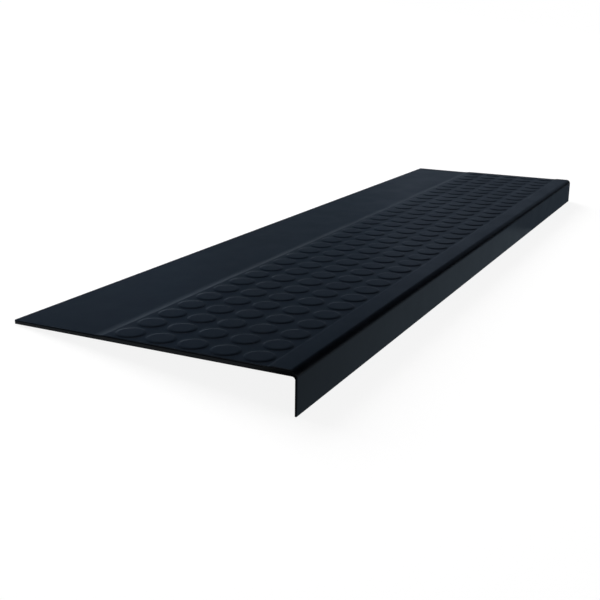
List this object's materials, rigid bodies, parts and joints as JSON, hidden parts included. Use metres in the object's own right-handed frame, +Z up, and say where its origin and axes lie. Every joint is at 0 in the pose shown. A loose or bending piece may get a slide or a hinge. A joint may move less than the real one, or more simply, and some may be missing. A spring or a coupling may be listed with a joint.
{
  "type": "rubber stair tread",
  "caption": "Long flat moulded rubber stair tread with a square nose along its front, round raised discs behind it and a smooth thin band along its back.",
  "frame": {"origin": "on the floor, at the middle of the tread's length and of its depth as it lies", "axes": "+X along the tread's length, +Y level from the nose to the back edge, +Z up from the floor. The tread rests on its nose's lower edge and its back edge, so its top slopes 6.7 degrees down towards +Y."},
  "size_m": [1.2192, 0.3226, 0.0425],
  "materials": {
    "rubber": "moulded, satin matte, black with a slight blue cast"
  },
  "bodies": {
    "root": {"tread": "rubber"}
  },
  "joints": []
}
